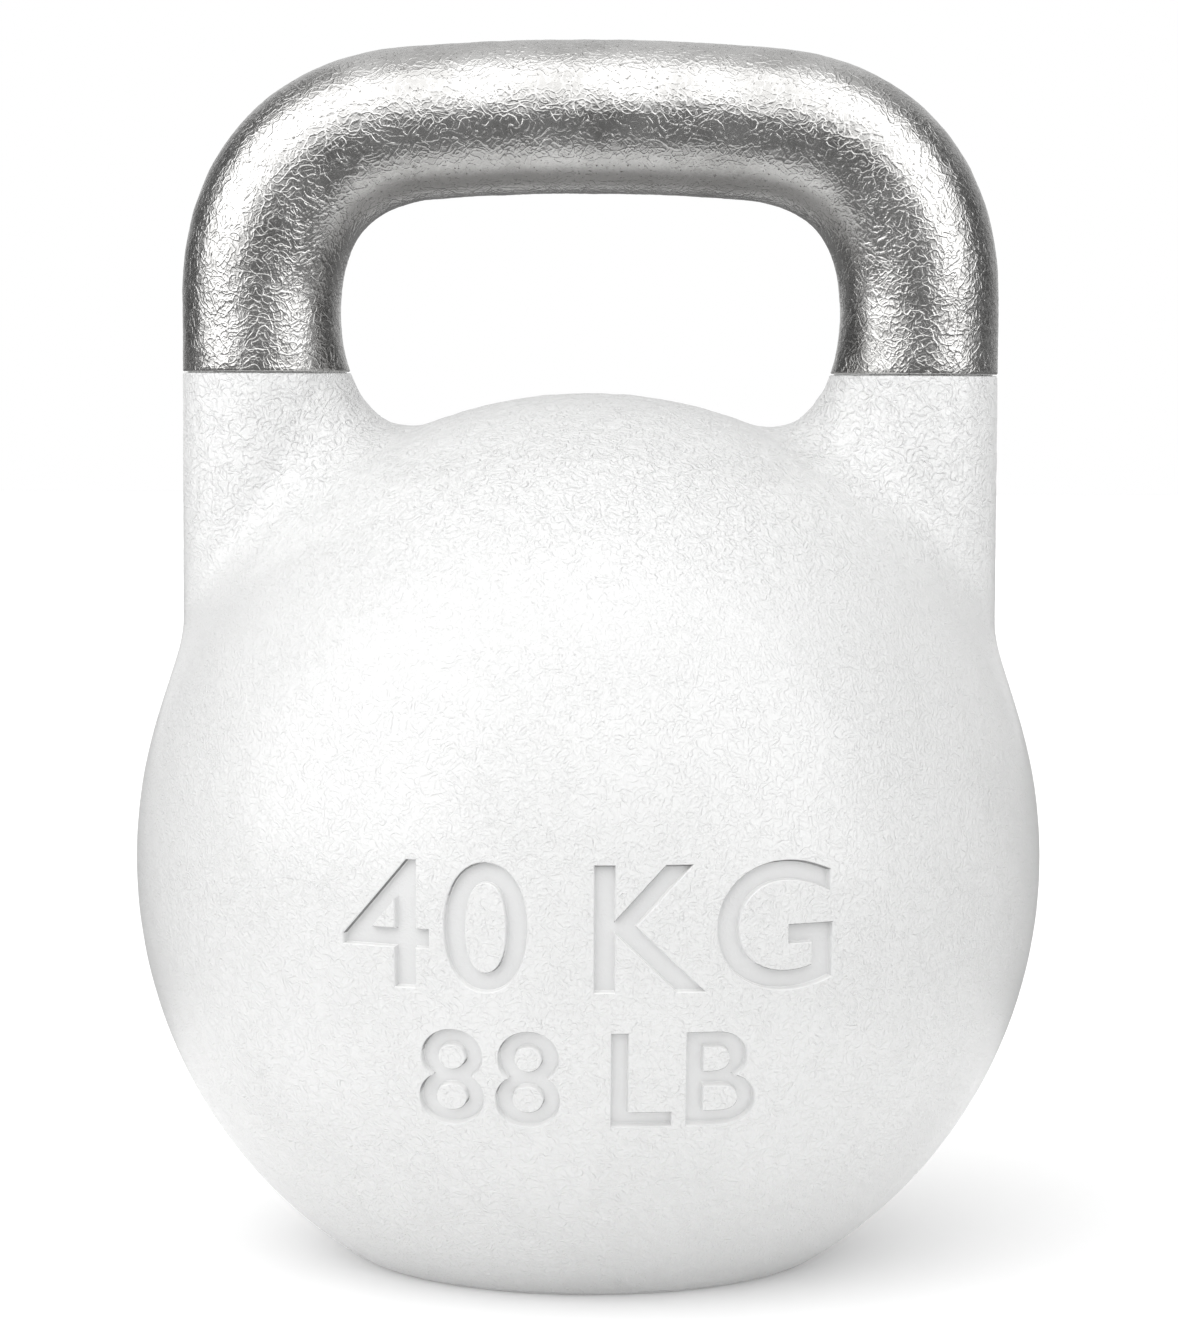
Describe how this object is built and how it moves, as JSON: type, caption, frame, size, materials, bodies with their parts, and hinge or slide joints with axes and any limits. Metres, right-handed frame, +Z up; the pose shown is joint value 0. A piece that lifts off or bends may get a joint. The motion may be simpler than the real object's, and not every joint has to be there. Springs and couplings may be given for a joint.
{
  "type": "kettlebell",
  "caption": "Competition kettlebell: round white enamelled steel body with horns, a bare steel grip bar, a shot filling and a threaded plug in its flat base.",
  "frame": {"origin": "centre of the flat base, on the floor", "axes": "+Z up through the middle of the grip, -Y is the front, and the legs of the handle stand apart along X"},
  "size_m": [0.21, 0.21, 0.2816],
  "materials": {
    "white_enamel": "satin white enamel over a finely wrinkled cast skin",
    "bare_steel": "bare polished steel with a wrinkled, leather-like cast skin",
    "black_steel": "black oxide, lightly oiled",
    "zinc_steel": "zinc plated",
    "shot_and_resin": "round metal shot bound in cast resin",
    "gasket_rubber": "matt black rubber"
  },
  "bodies": {
    "root": {"bell_shell": "white_enamel", "handle": "bare_steel", "ballast_fill": "shot_and_resin", "base_plug": "black_steel", "plug_gasket": "gasket_rubber", "plug_lock_screw": "black_steel", "left_handle_screw": "black_steel", "right_handle_screw": "black_steel", "left_screw_washer": "zinc_steel", "right_screw_washer": "zinc_steel"}
  },
  "joints": []
}
